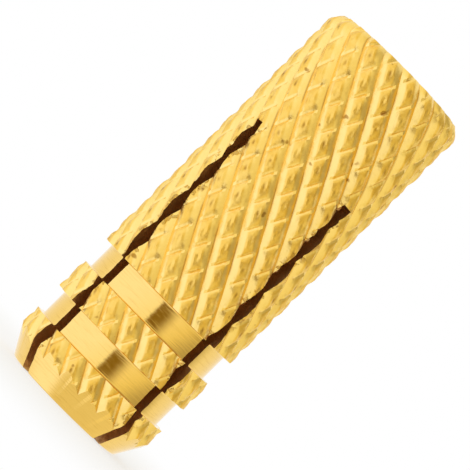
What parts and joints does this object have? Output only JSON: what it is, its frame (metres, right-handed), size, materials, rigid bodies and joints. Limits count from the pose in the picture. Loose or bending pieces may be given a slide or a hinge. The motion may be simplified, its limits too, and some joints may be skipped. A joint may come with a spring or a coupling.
{
  "type": "expansion anchor",
  "caption": "Turned brass expansion sleeve with a diamond knurl, a saw-split tapered tip and a threaded bore, for holding a bolt in a drilled hole.",
  "frame": {"origin": "centre of the tip face, on the surface that the anchor stands on", "axes": "+Z along the sleeve's axis, from the split tip out of the threaded mouth; +X and +Y through the saw slots"},
  "size_m": [0.012, 0.012, 0.032],
  "materials": {
    "brass": "bright turned and knurled brass"
  },
  "bodies": {
    "root": {"anchor_sleeve": "brass"}
  },
  "joints": []
}
